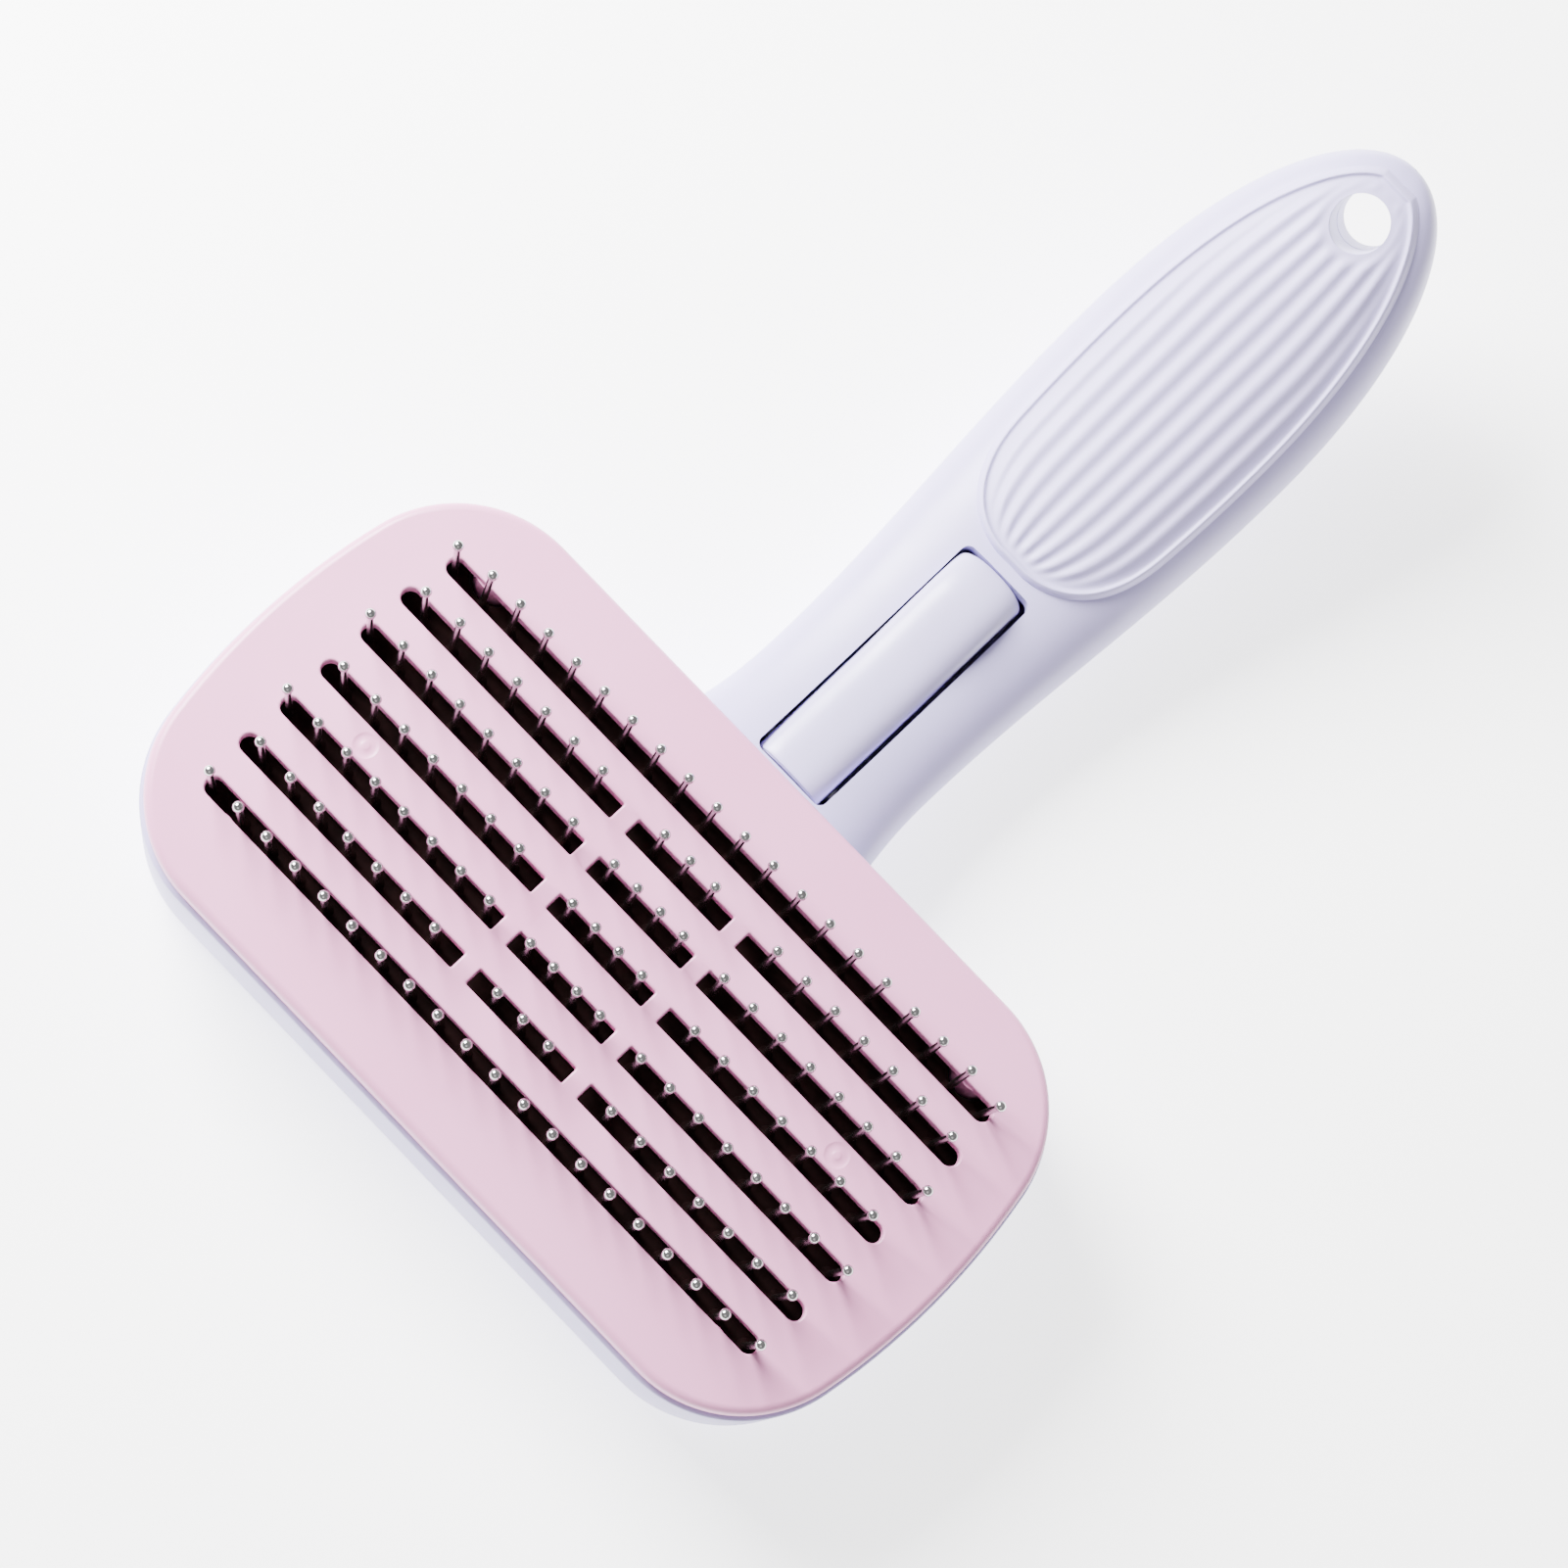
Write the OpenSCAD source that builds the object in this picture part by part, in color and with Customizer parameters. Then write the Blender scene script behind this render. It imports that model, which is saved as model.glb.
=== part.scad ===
// Self-cleaning slicker brush with a finger lever that lifts the stripper plate.
// Lies on its back: pins point to +Z, the handle runs to +Y, X goes across.

/* [Head] */
// Length of the stripper plate across the handle
plate_l = 117.8; // [112:0.2:124]
// Width of the stripper plate along the handle
plate_w = 64; // [62:0.5:68]
// Radius of the plate's corners
corner_r = 18; // [16:0.5:22]
// Radius of the plate's bowed short sides
side_r = 95; // [85:1:110]
// How far the head's rim stands out past the plate
rim_out = 0.6; // [0.4:0.1:1]
// Wall thickness of the head and handle shells
wall = 2; // [1.8:0.1:2.4]

/* [Heights] */
// Top of the head's rim
rim_z = 20.5; // [20:0.1:20.8]
// Underside of the pin board
board_z = 14.5; // [14.3:0.1:14.7]
// Thickness of the pin board
board_t = 2; // [1.8:0.1:2.2]
// Thickness of the pin cushion
cushion_t = 2.2; // [1.8:0.1:2.6]
// Lower edge of the stripper plate
skirt_z = 21; // [21:0.1:21.4]
// Face of the stripper plate
face_z = 24.5; // [24:0.1:25]
// Travel of the stripper plate
travel = 6.5; // [5:0.1:6.5]

/* [Pins] */
// Diameter of the pin wire
wire_d = 0.9; // [0.7:0.05:1]
// Diameter of the ball tips
ball_d = 1.44; // [1.2:0.05:1.6]
// Height of the ball tips above the plate's face
pin_proud = 9; // [8:0.25:10]
// Distance between pin rows
row_pitch = 6.75; // [6.6:0.05:6.9]
// Sideways shift of a tip for each row away from the middle
row_fan = 0.25; // [0:0.05:0.3]
// Width of the slots that the pins pass through
slot_w = 2.6; // [2.4:0.1:2.8]

/* [Handle] */
// Length of the handle along its curve
handle_l = 120.6; // [115:1:125]
// Radius of the handle's bend
bend_r = 140; // [135:1:160]
// Slope of the handle where it leaves the head, in degrees
neck_slope = -12; // [-13:0.5:-10]
// Half of the width at the waist
waist_hw = 14.4; // [14:0.1:15.5]
// Half of the width at the belly of the grip
belly_hw = 17.4; // [16.5:0.1:18.5]
// Radius of the hanging hole
hang_r = 3.8; // [3:0.1:4]

/* [Lever] */
// Width of the finger lever
lever_w = 10.4; // [10:0.1:10.6]
// Width of the opening that the lever moves in
lever_slot_w = 11.8; // [11.6:0.1:12]
// Distance between the lever's pivot and the link to the lift frame
lever_arm = 38; // [37:0.5:39]
// Radius of the pivot and link pins
pin_r = 1.5; // [1.4:0.05:1.5]

/* [Hidden] */
$fn = 48;
over = 1;

// Handle centreline: an arc in the YZ plane that starts inside the head's rear wall
neck_y = 30;
neck_z = 12;
waist_s = 16;
belly_s = 76;
cavity_s = 103;
neck_front_t = 7.6;
belly_front_t = 9.4;
back_t = 8.8;
section_p = 2.5;
relief = 0.6;
half_w = plate_w / 2;
half_l = plate_l / 2;
tip_slope = neck_slope + handle_l / bend_r * 180 / PI;
tip_y = neck_y + bend_r * (sin(tip_slope) - sin(neck_slope));
// The head's middle, so that the whole brush is centred on Y = 0
head_y = -(tip_y - half_w - rim_out) / 2 - 0.25;

// Head outline: straight long sides, round corners and bowed short sides
corner_y = half_w - corner_r;
side_x = half_l - side_r;
corner_x = side_x + sqrt(pow(side_r - corner_r, 2) - pow(corner_y, 2));
bow = atan2(corner_y, corner_x - side_x);
arc_n = 6;
bow_n = 3;

// Mechanism
floor_t = 1.8;
bowl_r = 5;
frame_z = 3.5;
frame_t = 2;
post_r = 3;
post_x = 43;
post_y = 24.3;
board_screw_x = 53;
board_screw_y = 8;
fit = 0.05;
link_z = frame_z + 2.1;
pivot_z = link_z + travel / 2;
pivot_y = lever_arm;
lug_w = 2.4;
lug_x = 5.8;
passage_hw = 5;
slot_front_y = 33.4;
slot_rear_s = 42.3;
lever_shift = -0.3;
hole_s = 110.9;
case_screw_s = [60, 92];
row_y = [for (k = [1:7]) (4 - k) * row_pitch];

// Slots: both long rows run through, the others are crossed by two bridges
slot_hl_long = 47.95;
slot_hl = 49;
bridge_x = 9.72;
bridge_w = 2.66;

// Places of the pins along each kind of row
outer_7 = [for (i = [0:6]) 15.2 + 5 * i];
outer_8 = [for (i = [0:7]) 13.1 + 4.95 * i];
mid_4 = [for (i = [0:3]) 4 * (i - 1.5)];
mid_3 = [for (i = [-1:1]) 4.4 * i];
long_20 = [for (i = [0:19]) 4.92 * (i - 9.5)];

function both(half, mid) = concat([for (x = half) -x], mid, half);

function row_x(k) =
    (k == 1 || k == 7) ? long_20 :
    (k == 3 || k == 5) ? both(outer_8, mid_4) :
    (k == 4) ? both(outer_7, mid_4) : both(outer_7, mid_3);

// Handle shape along its length s
function slope(s) = neck_slope + s / bend_r * 180 / PI;
function line_y(s) = neck_y + bend_r * (sin(slope(s)) - sin(neck_slope));
function line_z(s) = neck_z + bend_r * (cos(neck_slope) - cos(slope(s)));
function ease(s, a, b) = (1 - cos(180 * min(1, max(0, (s - a) / (b - a))))) / 2;
function taper(s, end, p) = s <= belly_s ? 1
    : sqrt(max(0, 1 - pow(min(1, (s - belly_s) / (end - belly_s)), p)));
function flare(s) = 0.007 * pow(max(0, waist_s - s), 2);
function hw(s) = (waist_hw + (belly_hw - waist_hw) * ease(s, waist_s, belly_s) + flare(s))
    * taper(s, handle_l, 2.3);
function front_t(s) = (neck_front_t + (belly_front_t - neck_front_t) * ease(s, 0, 60))
    * taper(s, handle_l, 2.6);
function rear_t(s) = back_t * taper(s, handle_l, 2.6);
function thick(s, side) = side > 0 ? front_t(s) : rear_t(s);
function power(v, e) = sign(v) * pow(abs(v), e);
function at(s, x, n) = [x, line_y(s) - n * sin(slope(s)), line_z(s) + n * cos(slope(s))];

// One half of a handle section as points, from +X to -X over the crown
sec_n = 10;
function half_ring(s, a, h, side) = [for (i = [0:sec_n])
    at(s, a * power(cos(180 * i / sec_n), 2 / section_p), side * h * power(sin(180 * i / sec_n), 2 / section_p))];
function reversed(v) = [for (i = [len(v) - 1:-1:0]) v[i]];

// Closed loop of a shell half: outer crown, then the hollow's crown back again
function shell_ring(s, side) = concat(
    half_ring(s, hw(s), thick(s, side), side),
    reversed(half_ring(s, max(hw(s) - wall, 0.6 * hw(s)) * (0.6 + 0.4 * taper(s, cavity_s, 4)),
        relief + max(0, thick(s, side) - wall - relief) * taper(s, cavity_s, 4), side)));

// Stations along the handle, closer together towards the tip
function stations(from) = concat([from], [for (s = [5:8:69]) s], [for (s = [76:8:100]) s], [cavity_s],
    [for (s = [107, 111, 114, 116.5, 118.3, 119.3]) s / 120 * handle_l]);

// Skin a list of equal point rings into one closed solid
module loft(rings, flip = false) {
    n = len(rings[0]);
    m = len(rings);
    sides = [for (j = [0:m - 2]) for (i = [0:n - 1])
        [j * n + i, j * n + (i + 1) % n, (j + 1) * n + (i + 1) % n, (j + 1) * n + i]];
    caps = [[for (i = [n - 1:-1:0]) i], [for (i = [0:n - 1]) (m - 1) * n + i]];
    faces = concat(sides, caps);
    polyhedron(points = [for (r = rings) for (p = r) p], faces = flip ? faces : [for (f = faces) reversed(f)],
        convexity = 8);
}

// Skin a list of equal point rings into a closed band, the last ring joined to the first
module band(rings) {
    n = len(rings[0]);
    m = len(rings);
    polyhedron(points = [for (r = rings) for (p = r) p], convexity = 8,
        faces = [for (j = [0:m - 1]) for (i = [0:n - 1]) let (k = (j + 1) % m)
            [k * n + i, k * n + (i + 1) % n, j * n + (i + 1) % n, j * n + i]]);
}

function arc_pts(cx, cy, r, a0, a1, n, skip0, skip1) =
    [for (i = [skip0:n - skip1]) [cx + r * cos(a0 + (a1 - a0) * i / n), cy + r * sin(a0 + (a1 - a0) * i / n)]];

// Head outline moved outwards by d
function outline(d) = concat(
    arc_pts(side_x, 0, side_r + d, -bow, bow, bow_n, 0, 0),
    arc_pts(corner_x, corner_y, corner_r + d, bow, 90, arc_n, 1, 0),
    arc_pts(-corner_x, corner_y, corner_r + d, 90, 180 - bow, arc_n, 0, 1),
    arc_pts(-side_x, 0, side_r + d, 180 - bow, 180 + bow, bow_n, 0, 0),
    arc_pts(-corner_x, -corner_y, corner_r + d, 180 + bow, 270, arc_n, 1, 0),
    arc_pts(corner_x, -corner_y, corner_r + d, 270, 360 - bow, arc_n, 0, 1));
function ring(d, z) = [for (p = outline(d)) [p[0], p[1], z]];

module in_place() {
    translate([0, head_y, 0]) children();
}

// Cylinder along X from x0 to x1 at (y, z)
module rod_x(x0, x1, y, z, r) {
    translate([x0, y, z]) rotate([0, 90, 0]) cylinder(h = x1 - x0, r = r);
}

// Cylinder square to the handle's centreline at s, from n0 to n1
module rod_n(s, n0, n1, r) {
    translate([0, line_y(s), line_z(s)]) rotate([slope(s), 0, 0]) translate([0, 0, n0]) cylinder(h = n1 - n0, r = r);
}

module bar(x, y, z) {
    translate([x[0], y[0], z[0]]) cube([x[1] - x[0], y[1] - y[0], z[1] - z[0]]);
}

// Bowl of the head, with a gap in its wall that the lever's arm passes through
module head_tray() {
    difference() {
        loft(concat(
            [for (a = [0:30:90]) ring(rim_out - bowl_r * (1 - sin(a)), bowl_r * (1 - cos(a)))],
            [ring(rim_out, rim_z), ring(rim_out - wall, rim_z), ring(rim_out - wall, bowl_r),
                ring(rim_out - wall - 2, floor_t)]));
        bar([-passage_hw, passage_hw], [neck_y - 3, neck_y + 5], [bowl_r + 0.2, board_z]);
    }
}

module back_shell() color([0.87, 0.87, 0.93]) in_place() {
    difference() {
        union() {
            head_tray();
            loft([for (s = stations(-0.6)) shell_ring(s, -1)]);
            for (x = [-1, 1], y = [-1, 1])
                translate([x * board_screw_x, y * board_screw_y, floor_t - 0.5])
                    cylinder(h = board_z - floor_t + 0.5, r = 3);
            for (x = [-1, 1])
                rod_x(min(x * 6.4, x * 13.6), max(x * 6.4, x * 13.6), pivot_y, pivot_z, 3);
            for (s = case_screw_s)
                rod_n(s, -rear_t(s) + 1, 0, 4.2);
        }
        for (x = [-1, 1], y = [-1, 1])
            translate([x * board_screw_x, y * board_screw_y, board_z - 8])
                cylinder(h = 8 + over, r = 1.1);
        rod_x(-10.5, 10.5, pivot_y, pivot_z, pin_r);
        for (s = case_screw_s) {
            rod_n(s, -rear_t(s) - over, -rear_t(s) + 3.6, 3);
            rod_n(s, -rear_t(s) + 3, over, 1.6);
        }
        rod_n(hole_s, -12, 12, hang_r);
    }
}

module handle_cover() color([0.9, 0.9, 0.96]) in_place() {
    difference() {
        union() {
            loft([for (s = stations(-1)) shell_ring(s, 1)], true);
            for (s = case_screw_s)
                rod_n(s, 0, front_t(s) - 1, 3.2);
        }
        translate([0, 0, neck_z - 3]) linear_extrude(height = 15)
            polygon(round_box(lever_slot_w / 2, slot_front_y, line_y(slot_rear_s), 1.2));
        for (s = case_screw_s)
            rod_n(s, -over, 5, 1.3);
        rod_n(hole_s, -12, 12, hang_r);
        rod_n(hole_s, collar_n - pad_gap, 12, collar_r + pad_gap);
        bar([-25, 25], [neck_y - 10, half_w + rim_out + 0.1], [0, rim_z + 9]);
    }
}

// Rectangle from -c to c and from y0 to y1 with corners of radius r
function round_box(c, y0, y1, r) = concat(
    arc_pts(c - r, y1 - r, r, 0, 90, 3, 0, 0), arc_pts(r - c, y1 - r, r, 90, 180, 3, 0, 0),
    arc_pts(r - c, y0 + r, r, 180, 270, 3, 0, 0), arc_pts(c - r, y0 + r, r, 270, 360, 3, 0, 0));

// Height of the cover's outer surface at (s, x) above the centreline
function crown(s, x) = front_t(s) * pow(max(0, 1 - pow(abs(x) / hw(s), section_p)), 1 / section_p);

// Half of the pad's width at s: a round end by the lever, then a margin inside the handle's edge
pad_s0 = 44.8;
pad_s1 = 118;
pad_t = 0.9;
pad_gap = 0.12;
pad_n = 8;
function pad_side(s) = waist_hw + (belly_hw - waist_hw) * ease(s, waist_s, belly_s) - 3.3;
function pad_hw(s) = pad_side(s) * pow(max(0.001, 1 - pow(max(0, (62 - s) / (62 - pad_s0)), 2.6)), 1 / 2.4)
    * taper(s, pad_s1 + 0.6, 2.3);
function pad_pts(s, lift) = [for (i = [0:pad_n])
    let (x = pad_hw(s) * cos(180 * i / pad_n)) at(s, x, crown(s, x) + lift)];
pad_stations = concat([pad_s0 + 0.05, 45.5, 47.5, 51, 56], [for (s = [62:8:102]) s],
    [107, 111, 114, 116.5, 118]);

// Collar of the pad that lines the front half of the hanging hole
collar_r = hang_r + 1.6;
collar_n = 1;

// Space above the collar: it slopes with the pad towards the handle's end
module collar_top() {
    s0 = hole_s - collar_r;
    s1 = hole_s + collar_r;
    n0 = crown(s0, 3) + pad_t / 2;
    n1 = crown(s1, 3) + pad_t / 2;
    translate([0, line_y(hole_s), line_z(hole_s)]) rotate([slope(hole_s), 0, 0])
        translate([0, 0, (n0 + n1) / 2]) rotate([atan2(n1 - n0, s1 - s0), 0, 0])
            bar([-9, 9], [-12, 12], [0, 20]);
}

module grip_pad() color([0.88, 0.88, 0.94]) in_place() {
    difference() {
        union() {
            loft([for (s = pad_stations) concat(pad_pts(s, pad_t), reversed(pad_pts(s, pad_gap)))], true);
            difference() {
                rod_n(hole_s, collar_n, 12, collar_r);
                collar_top();
            }
        }
        rod_n(hole_s, -12, 12, hang_r);
    }
}

// Flat outline of one slot from x0 to x1, with round ends where r0 or r1 is true
module slot(x0, x1, y, r0, r1) {
    r = slot_w / 2;
    polygon(concat(
        r1 ? arc_pts(x1 - r, y, r, -90, 90, 6, 0, 0) : [[x1, y - r], [x1, y + r]],
        r0 ? arc_pts(x0 + r, y, r, 90, 270, 6, 0, 0) : [[x0, y + r], [x0, y - r]]));
}

module slots() {
    b = bridge_w / 2;
    for (k = [1, 7])
        slot(-slot_hl_long, slot_hl_long, row_y[k - 1], true, true);
    for (k = [2:6]) {
        slot(-slot_hl, -bridge_x - b, row_y[k - 1], true, false);
        slot(-bridge_x + b, bridge_x - b, row_y[k - 1], false, false);
        slot(bridge_x + b, slot_hl, row_y[k - 1], false, true);
    }
}

module stripper_plate() color([0.91, 0.8, 0.86]) in_place() {
    skin = 2;
    edge = 1.2;
    difference() {
        union() {
            band([ring(-3, face_z - skin), ring(-1.8, face_z - skin), ring(-1.8, skirt_z), ring(0, skirt_z),
                ring(0, face_z - edge), ring(-0.35, face_z - 0.35), ring(-edge, face_z), ring(-3, face_z)]);
            translate([0, 0, face_z - skin]) linear_extrude(height = skin) difference() {
                polygon(outline(-2.5));
                slots();
            }
            for (x = [-1, 1], y = [-1, 1])
                translate([x * post_x, y * post_y, frame_z + frame_t])
                    cylinder(h = face_z - skin - frame_z - frame_t + 0.5, r = post_r);
        }
        for (x = [-1, 1], y = [-1, 1])
            translate([x * post_x, y * post_y, 0]) cylinder(h = frame_z + frame_t + 8, r = 1);
    }
}

// Flat layer inside the head's wall, with a hole of radius r for each post
module layer(z, t, gap, r) {
    translate([0, 0, z]) linear_extrude(height = t) difference() {
        polygon(outline(rim_out - wall - gap));
        for (x = [-1, 1], y = [-1, 1])
            translate([x * post_x, y * post_y]) circle(r = r);
        for (x = [-1, 1], y = [-1, 1])
            translate([x * board_screw_x, y * board_screw_y]) circle(r = z > board_z ? 2.9 : 1.4);
    }
}

module pin_board() color([0.12, 0.1, 0.1]) in_place() layer(board_z, board_t, 0.3, post_r + fit);

module pin_cushion() color([0.08, 0.07, 0.07]) in_place() {
    layer(board_z + board_t, cushion_t, 0.5, post_r + 0.6);
}

// Half outline of a pin: wire with a ball on its end, to be turned about its axis
tip_z = face_z + pin_proud - ball_d / 2;
function pin_profile(l) = concat([[0, 0], [wire_d / 2, 0]],
    [for (a = [-50:20:90]) [ball_d / 2 * cos(a), l + ball_d / 2 * sin(a)]]);

// A pin at (x, y) that leans by dx and dy between the cushion's top and its tip
module wire(x, y, dx, dy) {
    rise = tip_z - board_z - board_t - cushion_t;
    below = board_t + cushion_t - 0.3;
    run = norm([dx, dy]);
    length = norm([rise, run]);
    translate([x, y, tip_z - rise])
        rotate([0, 0, atan2(dy, dx)]) rotate([0, atan2(run, rise), 0]) translate([0, 0, -below])
            rotate_extrude($fn = 20) polygon(pin_profile(length + below));
}

module pin_row(k) color([0.78, 0.78, 0.78]) in_place() {
    xs = row_x(k);
    last = len(xs) - 1;
    for (i = [0:last]) {
        at_end = i == 0 || i == last;
        lean_x = at_end ? 0.6 * sign(xs[i]) : 0;
        lean_y = row_fan * (4 - k) * (at_end ? 0.3 : 1);
        wire(xs[i], row_y[k - 1], lean_x, lean_y);
    }
}

module lift_frame() color([0.85, 0.55, 0.6]) in_place() {
    z1 = frame_z + frame_t;
    lug_top = link_z + 2.2;
    difference() {
        union() {
            for (x = [-post_x, post_x]) {
                bar([x - 4, x + 4], [-post_y, post_y], [frame_z, z1]);
                for (y = [-post_y, post_y])
                    translate([x, y, frame_z]) cylinder(h = frame_t, r = 4);
            }
            bar([-post_x, post_x], [-8, 5], [frame_z, z1]);
            bar([-lug_x - lug_w, lug_x + lug_w], [-8, -4], [frame_z, lug_top]);
            for (x = [-lug_x - lug_w, lug_x])
                bar([x, x + lug_w], [-5, 4], [frame_z, lug_top]);
        }
        bar([-lug_x, lug_x], [-3.6, 6], [frame_z - over, lug_top + over]);
        for (y = [-0.3, 0.3])
            rod_x(-12, 12, y, link_z, pin_r + fit);
        bar([-12, 12], [-0.3, 0.3], [link_z - pin_r - fit, link_z + pin_r + fit]);
        for (x = [-1, 1], y = [-1, 1])
            translate([x * post_x, y * post_y, frame_z - over]) cylinder(h = frame_t + 2 * over, r = 1.4);
    }
}

// A pan-head screw pointing up, its head's underside at z
module screw(z, length, r, head_r, head_h) {
    translate([0, 0, z - head_h]) cylinder(h = head_h, r = head_r);
    translate([0, 0, z - 0.1]) cylinder(h = length + 0.1, r = r);
}

module lift_frame_screws() color([0.6, 0.6, 0.62]) in_place()
    for (x = [-1, 1], y = [-1, 1])
        translate([x * post_x, y * post_y, 0]) screw(frame_z, 9, 1, 2.4, 1.2);

module board_screws() color([0.6, 0.6, 0.62]) in_place()
    for (x = [-1, 1], y = [-1, 1])
        translate([x * board_screw_x, y * board_screw_y, board_z + board_t]) mirror([0, 0, 1])
            screw(0, 9, 1.1, 2.4, 1.2);

module case_screws() color([0.6, 0.6, 0.62]) in_place()
    for (s = case_screw_s)
        translate([0, line_y(s), line_z(s)]) rotate([slope(s), 0, 0])
            screw(-rear_t(s) + 3.6, rear_t(s) - 3.6 + 4.5, 1.3, 2.7, 1.8);

// Compression spring round one post, with its coils worked out along a helix
module return_spring(x, y) color([0.7, 0.7, 0.72]) in_place() {
    coil_r = 3.8;
    w = 0.25;
    turns = 4;
    z0 = frame_z + frame_t + 0.05 + w;
    z1 = board_z - 0.05 - w;
    steps = 14 * turns;
    sides = 6;
    pitch_slope = atan((z1 - z0) / turns / (2 * PI * coil_r));
    rings = [for (i = [0:steps]) let (a = 360 * turns * i / steps, z = z0 + (z1 - z0) * i / steps)
        [for (j = [0:sides - 1]) let (b = 360 * j / sides, r = coil_r + w * cos(b))
            [x + r * cos(a) + w * sin(b) * sin(pitch_slope) * sin(a),
             y + r * sin(a) - w * sin(b) * sin(pitch_slope) * cos(a),
             z + w * sin(b) * cos(pitch_slope)]]];
    loft(rings, true);
}

// Side outline of the lever: link eye, front arm, pivot web, then the finger bar
module trigger_lever() color([0.9, 0.89, 0.94]) in_place() {
    w = lever_w / 2;
    arm_w = 3.4;
    top_front = line_z(4) + neck_front_t + 0.4;
    rear_y = line_y(41.9);
    rear_top = line_z(42) + front_t(42) + 2.4;
    difference() {
        union() {
            rod_x(-arm_w, arm_w, 0, link_z, 2.2);
            translate([-arm_w, 0, 0]) rotate([90, 0, 90]) linear_extrude(height = 2 * arm_w)
                polygon([[0, link_z - 2], [26, link_z + 0.6], [pivot_y, pivot_z - 2.2], [pivot_y, pivot_z + 3],
                    [28, pivot_z + 2], [0, link_z + 2]]);
            rod_x(-w + 0.1, w - 0.1, pivot_y, pivot_z, 3);
            translate([-w + lever_shift, 0, 0]) rotate([90, 0, 90]) linear_extrude(height = 2 * w)
                polygon([[slot_front_y + 0.4, pivot_z + 4], [pivot_y, pivot_z - 2], [44, pivot_z - 1.5],
                    [rear_y - 1, rear_top - 10], [rear_y, rear_top - 4], [rear_y - 1.4, rear_top - 1],
                    [rear_y - 3.4, rear_top], [rear_y - 8, rear_top - 0.2], [54, top_front - 0.5],
                    [44, top_front - 0.5], [slot_front_y + 1.6, top_front],
                    [slot_front_y + 0.4, top_front - 0.6]]);
        }
        rod_x(-15, 15, pivot_y, pivot_z, pin_r + fit);
        rod_x(-15, 15, 0, link_z, pin_r);
    }
}

module lever_pivot_pin() color([0.75, 0.75, 0.77]) in_place() rod_x(-10.4, 10.4, pivot_y, pivot_z, pin_r);

module lever_link_pin() color([0.75, 0.75, 0.77]) in_place() rod_x(-8.6, 8.6, 0, link_z, pin_r);

back_shell();
handle_cover();
grip_pad();
stripper_plate();
pin_board();
pin_cushion();
pin_row(1);  // pin_row_1
pin_row(2);  // pin_row_2
pin_row(3);  // pin_row_3
pin_row(4);  // pin_row_4
pin_row(5);  // pin_row_5
pin_row(6);  // pin_row_6
pin_row(7);  // pin_row_7
lift_frame();
lift_frame_screws();
return_spring(-post_x, -post_y);  // return_spring_1
return_spring(post_x, -post_y);  // return_spring_2
return_spring(-post_x, post_y);  // return_spring_3
return_spring(post_x, post_y);  // return_spring_4
trigger_lever();
lever_pivot_pin();
lever_link_pin();
board_screws();
case_screws();
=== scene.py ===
"""Looks of the slicker brush: moulded shells, ribbed grip, slotted plate, ball-tipped pins and finger lever.

Works in millimetres in the part's own frame and scales to metres when a mesh is made.
"""

import math

import bmesh
import bpy
import numpy as np
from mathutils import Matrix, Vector


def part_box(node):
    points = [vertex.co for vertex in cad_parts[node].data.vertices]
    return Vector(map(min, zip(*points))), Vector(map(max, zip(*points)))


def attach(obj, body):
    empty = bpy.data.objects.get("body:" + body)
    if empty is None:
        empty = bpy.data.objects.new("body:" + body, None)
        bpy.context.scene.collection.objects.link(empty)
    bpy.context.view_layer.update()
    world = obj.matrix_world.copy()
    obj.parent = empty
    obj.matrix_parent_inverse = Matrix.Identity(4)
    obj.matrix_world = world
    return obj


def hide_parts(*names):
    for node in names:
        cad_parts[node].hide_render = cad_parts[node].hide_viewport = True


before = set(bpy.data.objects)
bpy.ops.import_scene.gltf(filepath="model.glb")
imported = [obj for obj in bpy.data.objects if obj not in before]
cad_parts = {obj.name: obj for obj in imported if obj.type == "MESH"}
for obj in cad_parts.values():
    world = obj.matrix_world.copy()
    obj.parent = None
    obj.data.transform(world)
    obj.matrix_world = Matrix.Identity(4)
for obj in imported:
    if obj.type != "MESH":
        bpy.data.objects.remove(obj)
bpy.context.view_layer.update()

MM = 0.001

# ---- Driving dimensions (mm) -------------------------------------------------------------------
# The part's own, except for the finer gap round the lever (LEVER_HW, LEVER_SLOT_HW and LEVER_SHIFT) and for
# HANDLE_END, which is 0.75 mm less.
PLATE_L, PLATE_W, CORNER_R, SIDE_R = 117.8, 64.0, 18.0, 95.0
RIM_OUT, WALL, RIM_Z, FLOOR_T, BOWL_R = 0.6, 2.0, 20.5, 1.8, 5.0
SKIRT_Z, FACE_Z, SKIN = 21.0, 24.5, 2.0
BOARD_TOP, CUSHION_TOP = 16.5, 18.7
WIRE_R, BALL_R, PIN_PROUD = 0.45, 0.72, 9.0
ROWS, MIDDLE_ROW = range(1, 8), 4
ROW_PITCH, ROW_FAN, SLOT_W = 6.75, 0.25, 2.6
BRIDGE_X, BRIDGE_W = 9.72, 2.66
SLOT_HALF, SLOT_HALF_LONG = 49.0, 47.95
POST_X, POST_Y, POST_R, FRAME_TOP = 43.0, 24.3, 3.0, 5.5
HANDLE_END, BEND_R, NECK_SLOPE = 119.85, 140.0, -12.0
NECK_Y, NECK_Z, WAIST_S, BELLY_S, CAVITY_S = 30.0, 12.0, 16.0, 76.0, 103.0
WAIST_HW, BELLY_HW, BACK_T = 14.4, 17.4, 8.8
NECK_FRONT_T, BELLY_FRONT_T = 7.6, 9.4
SECTION_P = 2.5
HOLE_S, HOLE_R = 110.9, 3.8
PAD_S0, PAD_S1, PAD_T = 44.8, 118.0, 0.9
LEVER_HW, LEVER_SLOT_HW, LEVER_SHIFT = 5.3, 5.8, -0.2
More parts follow.
